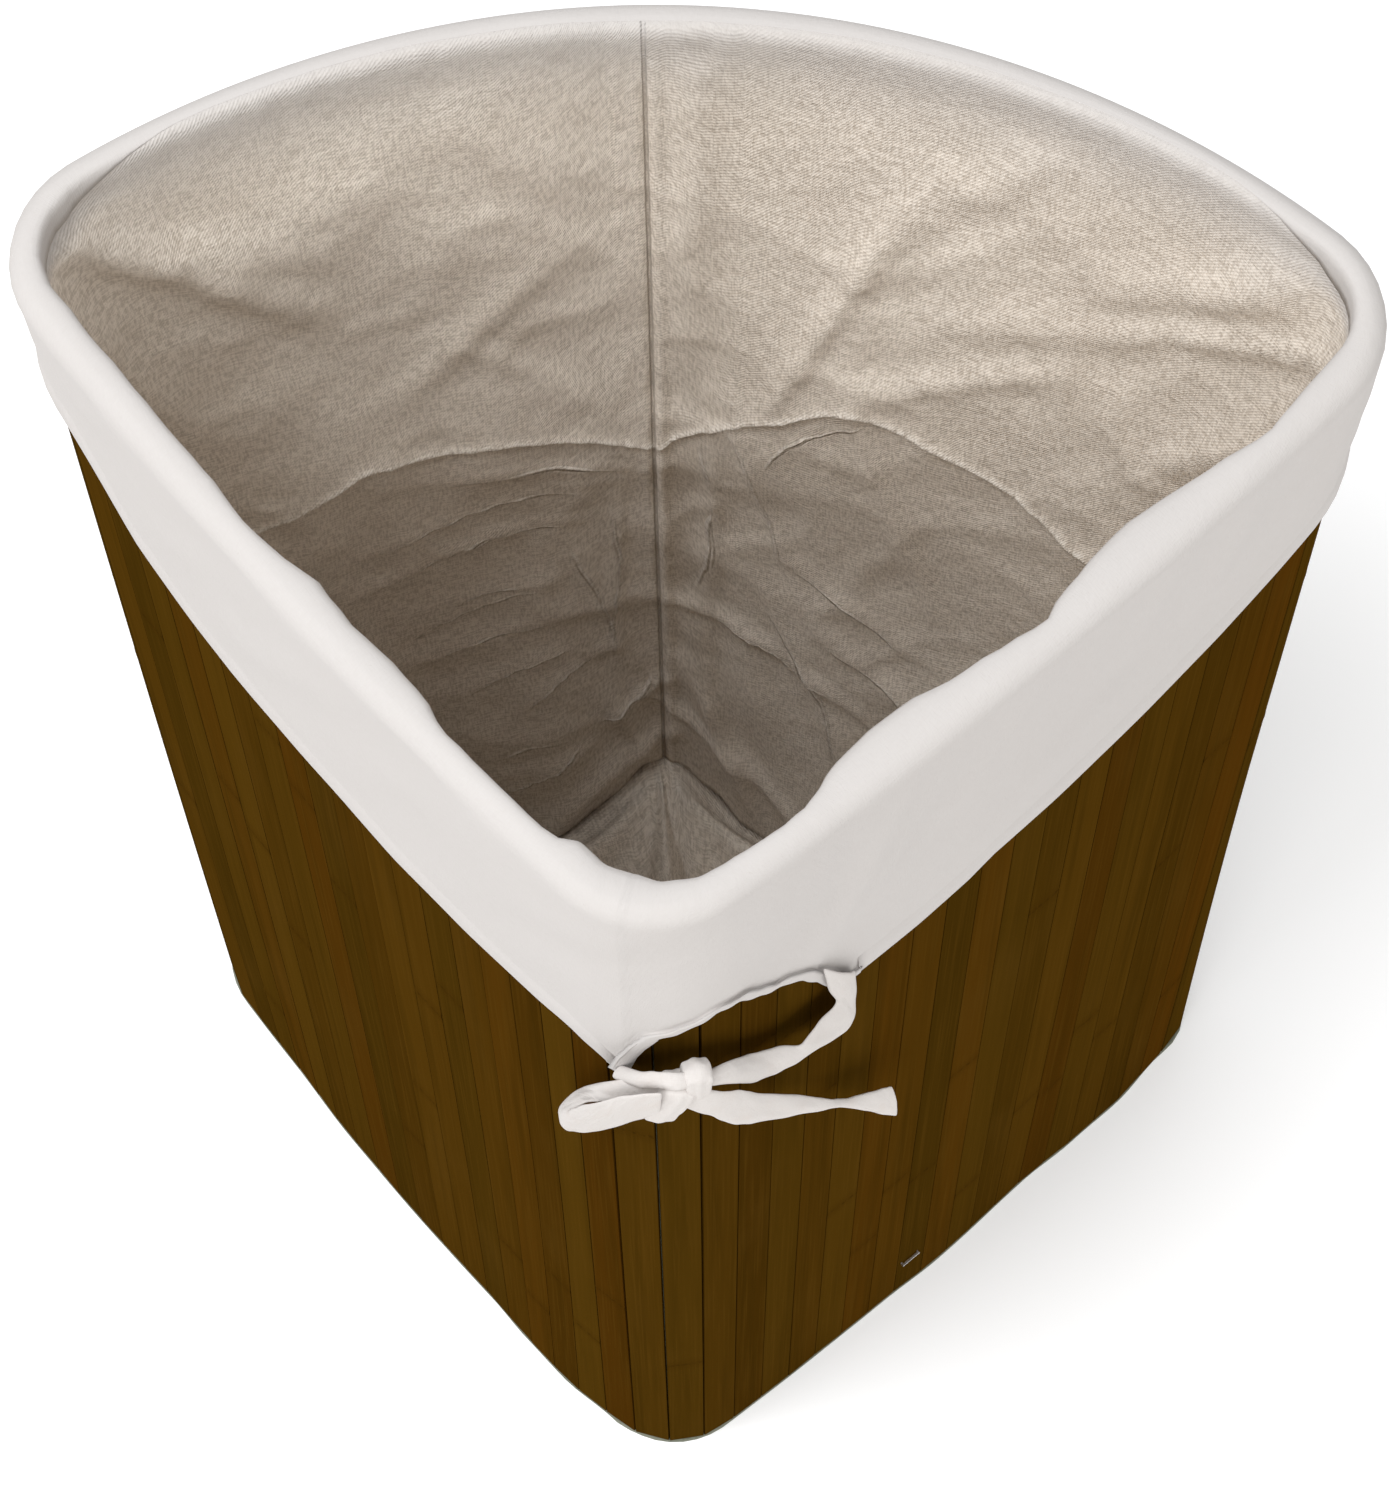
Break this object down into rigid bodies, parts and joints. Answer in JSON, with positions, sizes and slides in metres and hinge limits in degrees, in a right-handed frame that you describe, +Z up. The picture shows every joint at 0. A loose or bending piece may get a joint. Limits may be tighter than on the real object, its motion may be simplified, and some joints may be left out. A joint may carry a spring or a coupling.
{
  "type": "corner laundry hamper",
  "caption": "Quarter-circle corner laundry hamper of upright bamboo slats with a removable cotton liner folded over the rim and tied in a bow, and a folding base board.",
  "frame": {"origin": "centre of the bounding box in plan, on the floor", "axes": "+Z up; the right-angled corner with the bow faces -Y, the curved wall faces +Y, +X is to the right seen from the bow"},
  "size_m": [0.4488, 0.3438, 0.6527],
  "materials": {
    "bamboo": "stained, low satin",
    "backing_cloth": "matte woven",
    "edge_tape": "matte woven",
    "spring_steel": "plain",
    "staple_wire": "zinc-plated",
    "board": "hardboard",
    "liner_cotton": "matte plain weave",
    "bag_cotton": "matte fine twill",
    "ribbon": "matte tape"
  },
  "bodies": {
    "shell": {"slats_left_front": "bamboo", "slats_left_rear": "bamboo", "slats_right_front": "bamboo", "slats_right_rear": "bamboo", "slats_back_left": "bamboo", "slats_back_right": "bamboo", "backing": "backing_cloth", "foot_tape": "edge_tape", "top_tape": "edge_tape", "hoop_top": "spring_steel", "hoop_foot": "spring_steel", "staple": "staple_wire", "hinge_tape": "liner_cotton"},
    "base": {"base_board": "board", "board_cover": "liner_cotton"},
    "liner": {"bag_left": "bag_cotton", "bag_right": "bag_cotton", "bag_back_left": "bag_cotton", "bag_back_right": "bag_cotton", "bag_floor": "bag_cotton", "back_seam": "bag_cotton", "floor_seam": "bag_cotton", "rim_fold": "liner_cotton", "cuff": "liner_cotton", "cuff_hem": "liner_cotton", "arch_binding": "liner_cotton", "ribbon_left": "ribbon", "ribbon_right": "ribbon", "knot": "ribbon", "bow_loop": "ribbon", "tail": "ribbon"}
  },
  "joints": [
    {"name": "base_flip", "type": "hinge", "parent": "shell", "child": "base", "pos_m": [0.11159, -0.04162, 0.0006], "axis": [0.7071, 0.7071, 0], "range_deg": [0, 78], "deforming": ["bag_left", "bag_right", "bag_back_left", "bag_back_right", "bag_floor", "back_seam", "floor_seam"]},
    {"name": "liner_lift", "type": "slide", "parent": "shell", "child": "liner", "axis": [0, 0, 1], "range_m": [0, 0.66]}
  ]
}
